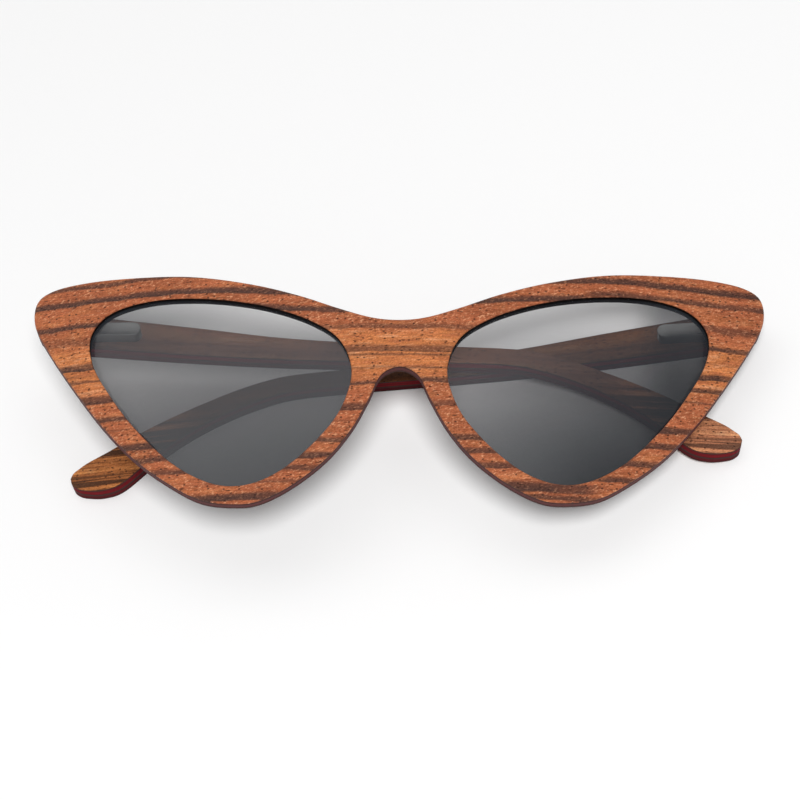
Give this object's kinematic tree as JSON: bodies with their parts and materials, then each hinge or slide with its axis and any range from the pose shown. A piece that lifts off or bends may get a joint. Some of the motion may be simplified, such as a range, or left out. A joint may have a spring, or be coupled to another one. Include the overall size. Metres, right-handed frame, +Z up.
{
  "type": "wooden sunglasses",
  "caption": "Cat-eye sunglasses, folded and lying on a temple: bent layered wooden front, tinted lenses and laminated wooden temples on sprung hinges.",
  "frame": {"origin": "on the flat outer face of the left temple, below the middle of the front, where the part rests", "axes": "+X along the left temple towards its hinge (wearer's left), +Y towards the upper edge of the front, +Z up"},
  "size_m": [0.1492, 0.0521, 0.0354],
  "materials": {
    "face_wood": "satin striped open grain",
    "inner_wood": "satin striped open grain",
    "dark_layer": "sanded dark edge",
    "red_layer": "sanded red edge",
    "tinted_lens": "polished, tint darker below",
    "hinge_steel": "satin",
    "screw_steel": "turned",
    "spring_steel": "drawn wire",
    "nut_brass": "turned"
  },
  "bodies": {
    "front": {"front_face_veneer": "face_wood", "front_core": "dark_layer", "front_back_veneer": "inner_wood", "left_lens": "tinted_lens", "right_lens": "tinted_lens", "left_end_block": "dark_layer", "right_end_block": "dark_layer", "left_hinge_leaf": "hinge_steel", "right_hinge_leaf": "hinge_steel", "left_leaf_screws": "screw_steel", "right_leaf_screws": "screw_steel", "left_hinge_pin": "screw_steel", "right_hinge_pin": "screw_steel"},
    "left_hinge": {"left_hinge_slider": "hinge_steel", "left_rod_nut": "nut_brass", "left_hinge_spring": "spring_steel"},
    "left_temple": {"left_spring_box": "hinge_steel", "left_box_plug": "hinge_steel", "left_temple_inner_veneer": "inner_wood", "left_temple_inner_red": "red_layer", "left_temple_core": "dark_layer", "left_temple_outer_red": "red_layer", "left_temple_outer_veneer": "face_wood"},
    "right_hinge": {"right_hinge_slider": "hinge_steel", "right_rod_nut": "nut_brass", "right_hinge_spring": "spring_steel"},
    "right_temple": {"right_spring_box": "hinge_steel", "right_box_plug": "hinge_steel", "right_temple_inner_veneer": "inner_wood", "right_temple_inner_red": "red_layer", "right_temple_core": "dark_layer", "right_temple_outer_red": "red_layer", "right_temple_outer_veneer": "face_wood"}
  },
  "joints": [
    {"name": "left_fold", "type": "hinge", "parent": "front", "child": "left_hinge", "pos_m": [0.068, 0.004, 0.0054], "axis": [0, -1, 0], "range_deg": [0, 83.7]},
    {"name": "right_fold", "type": "hinge", "parent": "front", "child": "right_hinge", "pos_m": [-0.06718, 0.004, 0.02032], "axis": [0, 1, 0], "range_deg": [0, 90]},
    {"name": "left_spring", "type": "slide", "parent": "left_hinge", "child": "left_temple", "axis": [-1, 0, 0], "range_m": [0, 0.0015], "stiffness_N_per_m": 2000, "springref_m": -0.001, "deforming": ["left_hinge_spring"]},
    {"name": "right_spring", "type": "slide", "parent": "right_hinge", "child": "right_temple", "axis": [0.9941, 0, -0.1085], "range_m": [0, 0.0015], "stiffness_N_per_m": 2000, "springref_m": -0.001, "deforming": ["right_hinge_spring"]}
  ],
  "couplings": [
    {"joint": "right_fold", "follows": "left_fold", "ratio": 0.25}
  ]
}
